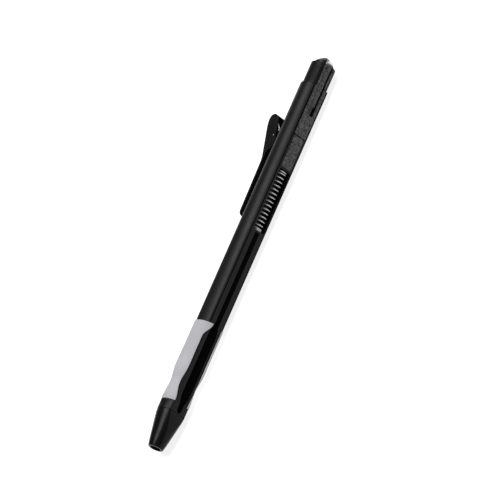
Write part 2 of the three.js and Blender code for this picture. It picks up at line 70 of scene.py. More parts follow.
MM = 0.001
joints = {j["name"]: j for j in frame["record"]["behaviour"]["joints"]}
facet_normal = Vector(frame["record"]["mounts"][0]["axis"])
axis_point = Vector(joints["cam_turn"]["pos_m"])
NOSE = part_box("nose_cone")[0].x
ROLL = math.atan2(-facet_normal.y, facet_normal.z)
PEN = (
    Matrix.Translation((NOSE, axis_point.y, axis_point.z))
    @ Matrix.Rotation(ROLL, 4, "X")
    @ Matrix.Scale(MM, 4)
)


def along(node, end):
    """How far along the pen a CAD node starts (end 0) or stops (end 1), in millimetres."""
    return (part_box(node)[end].x - NOSE) / MM


# ---------------------------------------------------------------- driving dimensions

# FRONT and REAR are distances along the pen, R is a radius, HALF is half a width across the facet,
# and FLOOR and TOP are heights above the pen's axis.
BARREL_R = 4.7
FACET_Z = 3.6
FIT = 0.15
OUTSIDE = 14            # a height or depth past everything, for cutting blocks
ROUND_SIDES = 192
NOSE_REAR = along("barrel", 0) - FIT
STEP = along("barrel", 1)
NECK_REAR = along("neck_sleeve", 1)
LENGTH = along("push_button", 1)
NOSE_TIP_R = 2.55
NOSE_MOUTH_R = 1.78
NIB_BORE_R = 2.3
SPIGOT_R = 2.85
SPIGOT_REAR = 17.8
BORE_R = 2.65
GUIDE_BORE_R = 2.95
GUIDE_REAR = 120.4
SOCKET_FRONT = 128.85
GRIP_FRONT = along("grip_sleeve", 0) - FIT
GRIP_REAR = along("grip_sleeve", 1) + FIT
GRIP_RECESS_R = 4.0
GRIP_INSIDE_R = 4.15
GRIP_MAX_R = 5.06
WINDOW_FRONT = along("return_spring", 0) + 0.05
WINDOW_REAR = along("return_spring", 1)
WINDOW_LEFT = 2.2
WINDOW_RIGHT = 2.75
PANEL_SEAM = along("window_panel", 1)
UPPER_FRONT = along("upper_panel", 0)
PANEL_FRONT = along("window_panel", 0)
NARROW_HALF = 2.3
PANEL_HALF = 2.75
PANEL_FLOOR = 3.2
PANEL_GAP = 0.1
EDGE_GROOVE_Y = 2.96
EDGE_GROOVE_HALF = 0.19
EDGE_GROOVE_FLOOR = 3.22
CHANNEL_FRONT = along("tongue", 0) + 0.9
CHANNEL_HALF = 1.35
CHANNEL_FLOOR = 1
KEYWAY_FLOOR = 1.75
KEYWAY_TOP = 2.95
TONGUE_FRONT = along("tongue", 0)
TONGUE_REAR = along("tongue", 1)
TONGUE_NOSE = 2.8
TONGUE_TOP = 3.4
TONGUE_UNDER = 1.95
TONGUE_LEFT = 1.2
TONGUE_RIGHT = 0.8
NECK_R = 4.2
NECK_FACET = 3.5
NECK_PLUG_R = 3.1
NECK_GRAIN_HALF = 2.3
RIB_COUNT = 8
RIB_PITCH = 0.72
RIB_WIDTH = 0.3
RIB_DEPTH = 0.14
STEM_R = 2.55
STEM_BORE_R = 2.75
CAP_R = 3.3
CAP_FRONT = 138.9
CHAMBER_FRONT = WINDOW_FRONT - 1
CHAMBER_REAR = WINDOW_REAR + 3.3
CHAMBER_R = 3.75
CHAMBER_TOP = 3.1
GROOVE_FRONT = 13.0
GROOVE_HALF = 0.98
GROOVE_WIDE = 1.8
GROOVE_FLOOR = 3.15
SPRING_R = 3.3
SPRING_WIRE = 0.24
SPRING_TURNS = 17
SPRING_CLOSED_TURNS = 1.5
SPRING_CLOSED_PITCH = 2.15 * SPRING_WIRE
PRESS = joints["button_press"]["range_m"][1] / MM
CLIP_HALF = 3.1
CLIP_SHEET = 0.65
CLIP_FRONT = along("clip", 0)
CLIP_REAR = along("clip", 1)
CLIP_ARM_R = 5.92
CLIP_ARM_SLOPE = 0.0273
CLIP_TAB_R = 11.3
CLIP_BEND = CLIP_FRONT + 19.3
CLIP_BLEND = 3
CLIP_PEAK = CLIP_REAR - 3.3
CLIP_EDGE_SLOPE = 0.42
CLIP_RIM = 1.3
SEAT_R = 4.05
SEAT_LENGTH_HALF = 4
SEAT_HALF = 2.6
BRACKET_HALF = 2.25
EAR_R = 1.1
PIN_R = 0.38
TORSION_R = 0.95
TORSION_TURNS = 2.5
TORSION_HALF = 1.15
TORSION_WIRE = 0.22
PIVOT = Vector(((joints["clip_hinge"]["pos_m"][0] - NOSE) / MM, 0, -6.2))

# ---------------------------------------------------------------- mesh kit


def smooth(t):
    t = min(max(t, 0), 1)
    return t * t * (3 - 2 * t)


def new_object(name, bm):
    bmesh.ops.remove_doubles(bm, verts=bm.verts, dist=1e-5)
    bmesh.ops.recalc_face_normals(bm, faces=bm.faces)
    mesh = bpy.data.meshes.new(name)
    bm.to_mesh(mesh)
    bm.free()
    obj = bpy.data.objects.new(name, mesh)
    bpy.context.scene.collection.objects.link(obj)
    return obj


def quadratic(a, b, c, steps, first=0):
    """Points along a curve from a to c that bends towards b."""
    shares = (k / steps for k in range(first, steps + 1))
    return [(1 - t) ** 2 * a + 2 * t * (1 - t) * b + t * t * c for t in shares]


def rounded(points, steps=5):
    """A flat outline with its corners turned into arcs. points are (u, v, radius)."""
    out = []
    count = len(points)
    for i, (u, v, radius) in enumerate(points):
        here = Vector((u, v))
        if radius <= 0:
            out.append(here)
            continue
        before = Vector(points[i - 1][:2]) - here
        after = Vector(points[(i + 1) % count][:2]) - here
        angle = before.angle(after)
        reach = min(radius / math.tan(angle / 2), 0.49 * before.length, 0.49 * after.length)
        start = here + before.normalized() * reach
        stop = here + after.normalized() * reach
        out += quadratic(start, here, stop, steps)
    return out


def lathe(name, outline, sides=144):
    """A solid of revolution about X.

    outline is a closed loop of (x, radius), or starts and ends at radius 0.
    """
    bm = bmesh.new()
    rings = []
    for point in outline:
        x, radius = point[0], point[1]
        if radius < 1e-6:
            rings.append([bm.verts.new((x, 0, 0))])
            continue
        angles = (2 * math.pi * k / sides for k in range(sides))
        rings.append([bm.verts.new((x, radius * math.cos(a), radius * math.sin(a))) for a in angles])
    closed = outline[0][1] > 1e-6
    pairs = zip(rings, rings[1:] + rings[:1] if closed else rings[1:])
    for first, second in pairs:
        for k in range(sides):
            a, b = first[k % len(first)], first[(k + 1) % len(first)]
            c, d = second[(k + 1) % len(second)], second[k % len(second)]
            corners = list(dict.fromkeys((a, b, c, d)))
            if len(corners) > 2:
                bm.faces.new(corners)
    return new_object(name, bm)


def prism(name, outline, low, high, plane="XY"):
    """A flat outline given a thickness.

    Plane XY rises along Z. Plane XZ is a side view, with v as the depth below the axis.
    """

    def corner(u, v, w):
        return (u, v, w) if plane == "XY" else (u, w, -v)

    bm = bmesh.new()
    bottom = [bm.verts.new(corner(p[0], p[1], low)) for p in outline]
    top = [bm.verts.new(corner(p[0], p[1], high)) for p in outline]
    bm.faces.new(bottom)
    bm.faces.new(top[::-1])
    count = len(outline)
    for k in range(count):
        bm.faces.new((bottom[k], top[k], top[(k + 1) % count], bottom[(k + 1) % count]))
    return new_object(name, bm)


def block(name, x0, x1, y0, y1, z0, z1, radius=0.0):
    """A box whose corners, seen square to the facet, may be rounded."""
    corners = [(x0, y0, radius), (x1, y0, radius), (x1, y1, radius), (x0, y1, radius)]
    return prism(name, rounded(corners), z0, z1)


def tube(name, points, radius, sides=12):
    """A round wire along points, with rounded ends."""
    bm = bmesh.new()
    rings = []
    side = None
    count = len(points)
    for i, point in enumerate(points):
        ahead = (points[min(i + 1, count - 1)] - points[max(i - 1, 0)]).normalized()
        if side is None:
            side = ahead.orthogonal().normalized()
        side = (side - ahead * side.dot(ahead)).normalized()
        up = ahead.cross(side)
        angles = [2 * math.pi * k / sides for k in range(sides)]
        rings.append([point + radius * (math.cos(a) * side + math.sin(a) * up) for a in angles])
    for end, order in ((0, 1), (count - 1, -1)):
        centre = points[end]
        out = (points[end] - points[end + order]).normalized()
        cap = []
        for share in (0.92, 0.7, 0.38):
            lift = math.sqrt(1 - share * share)
            cap.append([centre + (p - centre) * share + out * radius * lift for p in rings[end]])
        rings = cap[::-1] + rings if order == 1 else rings + cap
    loops = [[bm.verts.new(p) for p in ring] for ring in rings]
    for first, second in zip(loops, loops[1:]):
        for k in range(sides):
            n = (k + 1) % sides
            bm.faces.new((first[k], first[n], second[n], second[k]))
    bm.faces.new(loops[0])
    bm.faces.new(loops[-1][::-1])
    return new_object(name, bm)


def baked(obj):
    """Applies the modifiers of an object."""
    bpy.context.view_layer.update()
    graph = bpy.context.evaluated_depsgraph_get()
    mesh = bpy.data.meshes.new_from_object(obj.evaluated_get(graph), depsgraph=graph)
    obj.modifiers.clear()
    obj.data = mesh
    return obj


def combine(obj, others, operation):
    for other in others:
        mod = obj.modifiers.new("combine", "BOOLEAN")
        mod.operation = operation
        mod.solver = "EXACT"
        mod.object = other
    baked(obj)
    for other in others:
        bpy.data.objects.remove(other)
    return obj


def cut(obj, *tools):
    return combine(obj, tools, "DIFFERENCE")


def join(obj, *others):
    return combine(obj, others, "UNION")


def keep(obj, *others):
    return combine(obj, others, "INTERSECT")


def eased(obj, width, angle=35, steps=2):
    """Rounds the sharp edges by a small radius."""
    mod = obj.modifiers.new("ease", "BEVEL")
    mod.width = width
    mod.segments = steps
    mod.limit_method = "ANGLE"
    mod.angle_limit = math.radians(angle)
    mod.miter_outer = "MITER_ARC"
    return baked(obj)


def above(z):
    """A cutting block over the whole pen, from height z up."""
    return block("flat", -10, LENGTH + 10, -12, 12, z, OUTSIDE)


def place(obj, body, material, slot, *nodes, sharp=30):
    """Carries a finished piece into the row frame, shades it and hands it to the frame."""
    obj.data.transform(PEN)
    obj.data.shade_smooth()
    obj.data.set_sharp_from_angle(angle=math.radians(sharp))
    obj.data.materials.clear()
    obj.data.materials.append(material)
    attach(obj, body)
    if nodes:
        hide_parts(*nodes)


def repaint(obj, material, chosen):
    """Gives some faces of a placed piece another finish.

    chosen takes a face's centre and normal in the pen's frame.
    """
    obj.data.materials.append(material)
    back = PEN.inverted()
    turn = back.to_3x3()
    for face in obj.data.polygons:
        if chosen(back @ face.center, (turn @ face.normal).normalized()):
            face.material_index = len(obj.data.materials) - 1


# ---------------------------------------------------------------- materials


class Finish:
    """A node material: a principled surface with a bump chain, on the object's own coordinates."""

    def __init__(self, name, base, roughness, metallic=0.0, specular=0.5):
        self.material = bpy.data.materials.new(name)
        self.material.use_nodes = True
        self.nodes = self.material.node_tree.nodes
        self.links = self.material.node_tree.links
        self.shader = self.nodes["Principled BSDF"]
        self.shader.inputs["Base Color"].default_value = (*base, 1)
        self.shader.inputs["Roughness"].default_value = roughness
        self.shader.inputs["Metallic"].default_value = metallic
        self.shader.inputs["Specular IOR Level"].default_value = specular
        self.place = self.nodes.new("ShaderNodeTexCoord").outputs["Object"]
        self.last_bump = None

    def set(self, socket, value):
        self.shader.inputs[socket].default_value = value
        return self

    def noise(self, per_mm, detail=4, stretch=(1, 1, 1), rough=0.55):
        mapping = self.nodes.new("ShaderNodeMapping")
        mapping.inputs["Scale"].default_value = stretch
        node = self.nodes.new("ShaderNodeTexNoise")
        node.inputs["Scale"].default_value = per_mm / MM
        node.inputs["Detail"].default_value = detail
        node.inputs["Roughness"].default_value = rough
        self.links.new(self.place, mapping.inputs["Vector"])
        self.links.new(mapping.outputs["Vector"], node.inputs["Vector"])
        return node.outputs["Fac"]

    def lengthwise(self):
        split = self.nodes.new("ShaderNodeSeparateXYZ")
        self.links.new(self.place, split.inputs[0])
        return split.outputs["X"]

    def cells(self, per_mm):
        node = self.nodes.new("ShaderNodeTexVoronoi")
        node.inputs["Scale"].default_value = per_mm / MM
        self.links.new(self.place, node.inputs["Vector"])
        return node.outputs["Distance"]

    def spread(self, source, low, high, to_low, to_high):
        """Maps a texture's range low to high on to other values."""
        node = self.nodes.new("ShaderNodeMapRange")
        limits = {"From Min": low, "From Max": high, "To Min": to_low, "To Max": to_high}
        for socket, value in limits.items():
            node.inputs[socket].default_value = value
        self.links.new(source, node.inputs["Value"])
        return node.outputs["Result"]

    def colours(self, source, stops):
        ramp = self.nodes.new("ShaderNodeValToRGB")
        elements = ramp.color_ramp.elements
        while len(elements) < len(stops):
            elements.new(0.5)
        for element, (position, colour) in zip(elements, stops):
            element.position = position
            element.color = (*colour, 1)
        self.links.new(source, ramp.inputs["Fac"])
        return ramp.outputs["Color"]

    def mix(self, factor, first, second):
        node = self.nodes.new("ShaderNodeMix")
        node.data_type = "RGBA"
        self.links.new(factor, node.inputs["Factor"])
        for socket, value in (("A", first), ("B", second)):
            target = [s for s in node.inputs if s.name == socket and s.type == "RGBA"][0]
            if isinstance(value, tuple):
                target.default_value = (*value, 1)
            else:
                self.links.new(value, target)
        return [s for s in node.outputs if s.type == "RGBA"][0]

    def edges(self, radius_mm):
        """1 on worn convex edges, 0 elsewhere."""
        bevel = self.nodes.new("ShaderNodeBevel")
        bevel.samples = 4
        bevel.inputs["Radius"].default_value = radius_mm * MM
        geometry = self.nodes.new("ShaderNodeNewGeometry")
        dot = self.nodes.new("ShaderNodeVectorMath")
        dot.operation = "DOT_PRODUCT"
        self.links.new(bevel.outputs["Normal"], dot.inputs[0])
        self.links.new(geometry.outputs["Normal"], dot.inputs[1])
        return self.spread(dot.outputs["Value"], 0.999, 0.93, 0.0, 1.0)

    def feed(self, socket, source):
        self.links.new(source, self.shader.inputs[socket])
        return self

    def bump(self, source, height_mm, strength=1.0):
        node = self.nodes.new("ShaderNodeBump")
        node.inputs["Strength"].default_value = strength
        node.inputs["Distance"].default_value = height_mm * MM
        self.links.new(source, node.inputs["Height"])
        if self.last_bump is not None:
            self.links.new(self.last_bump, node.inputs["Normal"])
        self.last_bump = node.outputs["Normal"]
        self.links.new(self.last_bump, self.shader.inputs["Normal"])
        return self


def satin_black(name, specular):
    f = Finish(name, (0.005, 0.005, 0.0053), 0.4, specular=specular)
    shades = [(0.3, (0.004, 0.004, 0.0043)), (0.7, (0.0065, 0.0065, 0.007))]
    f.feed("Base Color", f.colours(f.noise(0.08, 3), shades))
    f.feed("Roughness", f.spread(f.noise(0.5, 5), 0.3, 0.7, 0.36, 0.44))
    f.bump(f.noise(9, 3), 0.004)
    f.bump(f.noise(0.35, 2, stretch=(0.2, 1, 1)), 0.01, 0.4)
    return f.material


def nose_black():
    f = Finish("nose_black", (0.0035, 0.0035, 0.0038), 0.24, specular=0.1)
    f.feed("Roughness", f.spread(f.noise(0.6, 5), 0.3, 0.7, 0.2, 0.28))
    f.bump(f.noise(7, 3), 0.003)
    f.bump(f.noise(2.5, 2, stretch=(0.1, 1, 1)), 0.004, 0.5)
    return f.material


def grip_rubber():
    f = Finish("grip_rubber", (0.32, 0.32, 0.34), 0.62, specular=0.14)
    shades = [(0.3, (0.305, 0.305, 0.324)), (0.7, (0.345, 0.345, 0.366))]
    f.feed("Base Color", f.colours(f.noise(0.12, 4), shades))
    f.feed("Roughness", f.spread(f.noise(0.8, 4), 0.3, 0.7, 0.56, 0.7))
    f.bump(f.noise(11, 4), 0.006)
    f.bump(f.noise(0.25, 2), 0.03, 0.5)
    return f.material


def gloss_black():
    f = Finish("gloss_black", (0.0008, 0.0008, 0.0008), 0.08, specular=0.006)
    f.feed("Roughness", f.spread(f.noise(0.4, 4), 0.35, 0.7, 0.05, 0.12))
    f.bump(f.noise(0.15, 2), 0.004, 0.3)
    return f.material


def panel_grain(name="panel_grain", tip=None):
    """Grained black. With a tip, in metres along the row, the grain behind it turns to bright grey metal,
    a painted highlight.
    """
    f = Finish(name, (0.03, 0.03, 0.031), 0.55, specular=0.25)
    speck = f.noise(1.7, 6, rough=0.7)
    grain = f.colours(speck, [(0.4, (0.005, 0.005, 0.0053)), (0.62, (0.085, 0.085, 0.087))])
    rough = f.spread(speck, 0.35, 0.65, 0.66, 0.44)
    if tip is None:
        f.feed("Base Color", grain)
        f.feed("Roughness", rough)
    else:
        # painted highlight: past the tip the tongue is made bright grey metal, standing in for the
        # highlight on its rounded end
        painted_tip_highlight = f.spread(f.lengthwise(), tip - 0.3 * MM, tip + 0.3 * MM, 0, 1)
        f.feed("Base Color", f.mix(painted_tip_highlight, grain, (0.62, 0.62, 0.63)))
        f.feed("Metallic", f.spread(painted_tip_highlight, 0, 1, 0, 0.9))
        f.feed("Roughness", f.spread(painted_tip_highlight, 0, 1, 0.55, 0.3))
    f.bump(speck, 0.05, 0.8)
    f.bump(f.cells(5), 0.015, 0.5)
    return f.material


def spring_wire():
    f = Finish("spring_wire", (0.3, 0.3, 0.305), 0.22, metallic=1)
    f.feed("Roughness", f.spread(f.noise(2, 5), 0.3, 0.7, 0.17, 0.28))
    f.bump(f.noise(6, 3), 0.002)
    return f.material


def clip_black():
    f = Finish("clip_black", (0.006, 0.006, 0.0064), 0.5, specular=0.07)
    wear = f.edges(0.12)
    f.feed("Base Color", f.mix(wear, (0.0035, 0.0035, 0.0038), (0.022, 0.022, 0.023)))
    f.feed("Roughness", f.spread(f.noise(0.7, 5), 0.3, 0.7, 0.44, 0.56))
    f.bump(f.noise(5, 4), 0.006)
    return f.material


def button_black():
    f = Finish("button_black", (0.006, 0.006, 0.0064), 0.3, specular=0.15)
    f.feed("Roughness", f.spread(f.noise(0.9, 5), 0.3, 0.7, 0.24, 0.38))
    f.bump(f.noise(6, 3), 0.003)
    return f.material


def plain(name, low, high, roughness, specular=0.5):
    """A plain moulding whose colour drifts between low and high."""
    f = Finish(name, low, roughness, specular=specular)
    f.feed("Base Color", f.colours(f.noise(0.5, 4), [(0.3, low), (0.7, high)]))
    f.feed("Roughness", f.spread(f.noise(0.9, 4), 0.3, 0.7, roughness - 0.06, roughness + 0.06))
    f.bump(f.noise(6, 3), 0.004)
    return f.material


def felt():
    f = Finish("felt", (0.8, 0.75, 0.6), 0.95, specular=0.2)
    fibres = f.noise(9, 5, stretch=(0.12, 1, 1))
    f.feed("Base Color", f.colours(fibres, [(0.3, (0.62, 0.55, 0.38)), (0.7, (0.86, 0.81, 0.66))]))
    f.bump(fibres, 0.04)
    return f.set("Sheen Weight", 0.3).material


SATIN = satin_black("satin_black", 0.11)
NECK_FINISH = satin_black("neck_black", 0.065)
NOSE_FINISH = nose_black()
RUBBER = grip_rubber()
GLOSS = gloss_black()
GRAIN = panel_grain()
# The tongue's last 1.7 mm carries the painted highlight.
TONGUE_FINISH = panel_grain("tongue_grain", NOSE + (TONGUE_REAR - 1.7) * MM)
STEEL = spring_wire()
CLIP_FINISH = clip_black()
BUTTON_FINISH = button_black()
WHITE = plain("inner_white", (0.78, 0.78, 0.76), (0.84, 0.84, 0.82), 0.45)
ROD_FINISH = plain("rod_black", (0.006, 0.006, 0.006), (0.009, 0.009, 0.009), 0.6, specular=0.1)
SEAL = plain("seal_black", (0.015, 0.015, 0.015), (0.025, 0.025, 0.025), 0.8, specular=0.2)
FELT = felt()

# ---------------------------------------------------------------- outlines on the facet


def grip_left(x):
    """The opening's edge on the pen's left, down the side of the pen and coming in at the rear."""
    rear = smooth((GRIP_REAR - x) / 5)
    front = smooth((x - GRIP_FRONT) / 6)
    return 1.9 + 1.6 * rear - 0.4 * (1 - front)


def grip_right(x):
    """The opening's edge on the pen's right, over the facet's corner."""
    return 2.65 - 0.35 * (1 - smooth((x - GRIP_FRONT) / 6))


def grip_opening(gap):
    """The outline of the grip's opening, grown by a gap on both sides."""
    start, stop = GRIP_FRONT - 1, GRIP_REAR + 1
    steps = 80
    xs = [start + (stop - start) * k / steps for k in range(steps + 1)]
    return [(x, -grip_right(x) - gap) for x in xs] + [(x, grip_left(x) + gap) for x in reversed(xs)]


def groove_half(x):
    wide = smooth((GRIP_REAR + 1 - x) / 4) * smooth((x - GRIP_FRONT + 0.5) / 4)
    return GROOVE_HALF + (GROOVE_WIDE - GROOVE_HALF) * wide


def groove_outline(shrink):
    """The glossy strip's outline: a round front end, wide inside the grip, narrow behind it."""
    front = GROOVE_FRONT + shrink
    radius = groove_half(front) - shrink
    rear = WINDOW_FRONT - 0.6 - shrink
    xs = [front + radius * (1 - math.cos(math.pi / 2 * k / 10)) for k in range(1, 11)]
    edge = [(x, math.sqrt(max(radius**2 - (front + radius - x) ** 2, 0))) for x in xs]
    xs = [front + radius + (GRIP_REAR + 4 - front - radius) * k / 90 for k in range(1, 91)]
    edge += [(x, groove_half(x) - shrink) for x in xs]
    edge.append((rear, GROOVE_HALF - shrink))
    return [(front, 0)] + [(x, -y) for x, y in edge] + list(reversed(edge))


# ---------------------------------------------------------------- body of the pen


def grip_recess():
    """The ring that the grip sits in, without the stretch that its opening leaves standing."""
    ring = lathe("recess", [
        (GRIP_FRONT, GRIP_RECESS_R), (GRIP_FRONT, 7), (GRIP_REAR, 7), (GRIP_REAR, GRIP_RECESS_R),
    ], ROUND_SIDES)
    return cut(ring, prism("rail", grip_opening(0), 0, OUTSIDE))


def barrel_bore():
    """The nose's socket, the refill's bore, the guide's seat, the button's bore and the neck's socket."""
    socket_r = SPIGOT_R + FIT
    plug_r = NECK_PLUG_R + FIT
    guide_front = CHAMBER_REAR - 1
    return lathe("bore", [
        (10, 0), (10, socket_r), (SPIGOT_REAR + FIT, socket_r), (SPIGOT_REAR + FIT, BORE_R),
        (guide_front, BORE_R), (guide_front, GUIDE_BORE_R), (GUIDE_REAR, GUIDE_BORE_R),
        (GUIDE_REAR, STEM_BORE_R), (SOCKET_FRONT, STEM_BORE_R), (SOCKET_FRONT, plug_r),
        (STEP + 3, plug_r), (STEP + 3, 0),
    ], 96)


def spring_chamber():
    chamber = lathe("chamber", [
        (CHAMBER_FRONT, 0), (CHAMBER_FRONT, CHAMBER_R), (CHAMBER_REAR, CHAMBER_R), (CHAMBER_REAR, 0),
    ], 144)
    return cut(chamber, above(CHAMBER_TOP))


def button_channel():
    """The channel along the facet that the tongue slides in."""
    return block("channel", CHANNEL_FRONT, STEP + 3, -CHANNEL_HALF, CHANNEL_HALF, CHANNEL_FLOOR, OUTSIDE)


def facet_openings():
    """The window, the panels' pockets and the tongue's channel and keyway."""
    keyway_front = TONGUE_FRONT - PRESS - 0.4
    return [
        block("window", WINDOW_FRONT, WINDOW_REAR, -WINDOW_RIGHT, WINDOW_LEFT, 2, OUTSIDE, 0.45),
        block("narrow", PANEL_FRONT - 0.1, UPPER_FRONT, -NARROW_HALF, NARROW_HALF, PANEL_FLOOR, OUTSIDE),
        block("panels", PANEL_SEAM, STEP + 3, -PANEL_HALF, PANEL_HALF, PANEL_FLOOR, OUTSIDE),
        button_channel(),
        block("keyway", keyway_front, STEP + 3, -CHANNEL_HALF, CHANNEL_HALF, KEYWAY_FLOOR, KEYWAY_TOP),
    ]


def clip_seat():
    front, rear = PIVOT.x - SEAT_LENGTH_HALF, PIVOT.x + SEAT_LENGTH_HALF
    return block("seat", front, rear, -SEAT_HALF, SEAT_HALF, -12, -SEAT_R)


def edge_groove(side):
    """The fine groove along one edge of the facet."""
    inner = side * EDGE_GROOVE_Y - EDGE_GROOVE_HALF
    outer = side * EDGE_GROOVE_Y + EDGE_GROOVE_HALF
    return block("edge_groove", GRIP_REAR + 0.3, STEP + 1, inner, outer, EDGE_GROOVE_FLOOR, OUTSIDE)


def barrel():
    front = NOSE_REAR + FIT
    body = lathe("barrel_shell", rounded([
        (front, 0, 0), (front, BARREL_R, 0.03), (GRIP_FRONT, BARREL_R, 0), (GRIP_REAR, BARREL_R, 0),
        (WINDOW_REAR, BARREL_R, 0), (STEP, BARREL_R, 0.22), (STEP, 0, 0),
    ]), ROUND_SIDES)
    groove = prism("groove", groove_outline(0), GROOVE_FLOOR, OUTSIDE)
    edges = [edge_groove(side) for side in (-1, 1)]
    cut(body, grip_recess(), above(FACET_Z), barrel_bore(), spring_chamber(), *facet_openings(),
        clip_seat(), groove, *edges)
    eased(body, 0.07)
    place(body, "pen_body", SATIN, "barrel_black", "barrel")


def nose_cone():
    outside = [
        (0, NOSE_MOUTH_R, 0.12), (0, NOSE_TIP_R, 0.35), (2, 3.0, 3), (8, 4.03, 6), (11.3, 4.58, 1.4),
        (NOSE_REAR, BARREL_R, 0.03),
    ]
    spigot = [
        (NOSE_REAR, SPIGOT_R, 0), (SPIGOT_REAR, SPIGOT_R, 0.1), (SPIGOT_REAR, BORE_R, 0.05),
    ]
    inside = [
        (6, BORE_R, 0), (4.1, NIB_BORE_R, 0), (2.5, NIB_BORE_R, 0), (2.5, NOSE_MOUTH_R, 0.1),
    ]
    body = lathe("nose_cone_shell", rounded(outside + spigot + inside, 8), ROUND_SIDES)
    cut(body, above(FACET_Z))
    eased(body, 0.08)
    place(body, "pen_body", NOSE_FINISH, "nose_black", "nose_cone")


def catmull(points, steps):
    """A smooth curve through points."""
    pts = [2 * Vector(points[0]) - Vector(points[1])] + [Vector(p) for p in points]
    pts.append(2 * Vector(points[-1]) - Vector(points[-2]))
    out = []
    for i in range(1, len(pts) - 2):
        for k in range(steps):
            t = k / steps
            a, b, c, d = pts[i - 1:i + 3]
            out.append(0.5 * ((2 * b) + (c - a) * t + (2 * a - 5 * b + 4 * c - d) * t * t
                              + (3 * b - a - 3 * c + d) * t**3))
    out.append(Vector(points[-1]))
    return out


def grip_sleeve():
    front, rear = GRIP_FRONT + FIT, GRIP_REAR - FIT
    waisted = catmull([
        (front, 4.7), (front + 0.25, 4.8), (17.4, 4.84), (19.6, 4.66), (22, 4.48), (23.8, 4.48),
        (25.9, 4.8), (28.5, GRIP_MAX_R - 0.02), (33, 5.02), (38, 5), (rear - 0.3, 4.96), (rear, 4.8),
    ], 8)
    outside = [(p.x, min(p.y, GRIP_MAX_R)) for p in waisted]
    outline = [(front, GRIP_INSIDE_R)] + outside + [(rear, GRIP_INSIDE_R)]
    body = lathe("grip_rubber_sleeve", outline, ROUND_SIDES)
    cut(body, prism("opening", grip_opening(FIT), 0, OUTSIDE))
    eased(body, 0.16, 40, 3)
    place(body, "pen_body", RUBBER, "grip_grey", "grip_sleeve")


def gloss_strip():
    body = prism("gloss_inlay", groove_outline(0.1), GROOVE_FLOOR + 0.05, FACET_Z - 0.14)
    eased(body, 0.06, 60)
    place(body, "pen_body", GLOSS, "gloss_black", "gloss_strip")


def panels():
    wide = PANEL_HALF - PANEL_GAP
    narrow = NARROW_HALF - PANEL_GAP
    low = PANEL_FLOOR + 0.05
    window = block("window_plate", PANEL_FRONT, PANEL_SEAM, -narrow, narrow, low, FACET_Z, 0.15)
    upper = block("upper_plate", UPPER_FRONT, STEP - 0.05, -wide, wide, low, FACET_Z, 0.15)
    cut(upper, button_channel())
    for body, node in ((window, "window_panel"), (upper, "upper_panel")):
        eased(body, 0.06)
        place(body, "pen_body", GRAIN, "panel_grain", node)
        repaint(body, SATIN, lambda centre, normal: abs(normal.z) < 0.5)


def neck_ribs():
    """Rings that cut shallow ridges into the neck's right flank."""
    ribs = []
    floor_r = NECK_R - RIB_DEPTH
    for k in range(RIB_COUNT):
        x = STEP + 0.85 + RIB_PITCH * k
        ring = lathe("rib", [(x, floor_r), (x, 6), (x + RIB_WIDTH, 6), (x + RIB_WIDTH, floor_r)], 96)
        ribs.append(keep(ring, block("flank", x - 1, x + 1, -6, 6, 1.4, 6)))
    return ribs


def head_pocket():
    """The pocket in the neck that the button's wide head slides into."""
    start = CAP_FRONT - PRESS - 0.3
    wide = CAP_R + 0.2
    pocket = lathe("pocket", [(start, 0), (start, wide), (NECK_REAR + 1, wide), (NECK_REAR + 1, 0)], 96)
    return cut(pocket, above(TONGUE_UNDER))


def neck_sleeve():
    front = along("neck_sleeve", 0)
    body = lathe("neck_collar", rounded([
        (front, STEM_BORE_R, 0), (front, NECK_PLUG_R, 0.05), (STEP + FIT, NECK_PLUG_R, 0),
        (STEP + FIT, NECK_R, 0.08),
        (NECK_REAR - 0.12, NECK_R, 0.45), (NECK_REAR, NECK_R - 0.45, 0.3), (NECK_REAR, STEM_BORE_R, 0.12),
    ]), ROUND_SIDES)
    rear = NECK_REAR + 1
    channel = block("channel", front - 1, rear, -CHANNEL_HALF, CHANNEL_HALF, CHANNEL_FLOOR, OUTSIDE)
    cut(body, above(NECK_FACET), channel, head_pocket(), *neck_ribs())
    eased(body, 0.06)
    place(body, "pen_body", NECK_FINISH, "barrel_black", "neck_sleeve")
    repaint(body, GRAIN, lambda centre, normal: normal.z > 0.9 and abs(centre.y) < NECK_GRAIN_HALF)


def coil_points(front, rear):
    """The return spring's wire: closed turns at both ends, open turns between."""
    open_turns = SPRING_TURNS - 2 * SPRING_CLOSED_TURNS
    open_pitch = (rear - front - 2 * SPRING_CLOSED_PITCH * SPRING_CLOSED_TURNS) / open_turns
    steps = 40
    points = []
    for k in range(SPRING_TURNS * steps + 1):
        turn = k / steps
        first = min(turn, SPRING_CLOSED_TURNS)
        last = max(turn - (SPRING_TURNS - SPRING_CLOSED_TURNS), 0)
        x = front + SPRING_CLOSED_PITCH * (first + last) + open_pitch * (turn - first - last)
        angle = 2 * math.pi * turn
        points.append(Vector((x, SPRING_R * math.cos(angle), SPRING_R * math.sin(angle))))
    return points


def return_spring():
    front = along("return_spring", 0)
    rear = along("return_spring", 1)
    body = tube("coil_spring", coil_points(front + SPRING_WIRE, rear - SPRING_WIRE), SPRING_WIRE, 14)
    place(body, "pen_body", STEEL, "spring_steel", "return_spring", sharp=60)
    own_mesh(body)


# ---------------------------------------------------------------- button


def push_button():
    front = along("push_button", 0)
    stem = [
        (front, 0, 0), (front, 1.5, 0.1), (front + 0.6, 1.9, 0.2), (118.3, 1.9, 0.3),
        (120.9, STEM_R, 0.3), (CAP_FRONT, STEM_R, 0),
    ]
    head = [
        (CAP_FRONT, CAP_R, 0.1), (LENGTH - 2.1, CAP_R, 0.5), (LENGTH - 1.2, 2.45, 1.2),
        (LENGTH - 0.04, 1.0, 0.9), (LENGTH, 0, 0),
    ]
    body = lathe("button_stem", rounded(stem + head, 8), 160)
    cut(body, block("flat", TONGUE_FRONT - 0.1, LENGTH + 5, -9, 9, TONGUE_UNDER - 0.1, OUTSIDE))
    eased(body, 0.08)
    place(body, "button", BUTTON_FINISH, "button_black", "push_button")


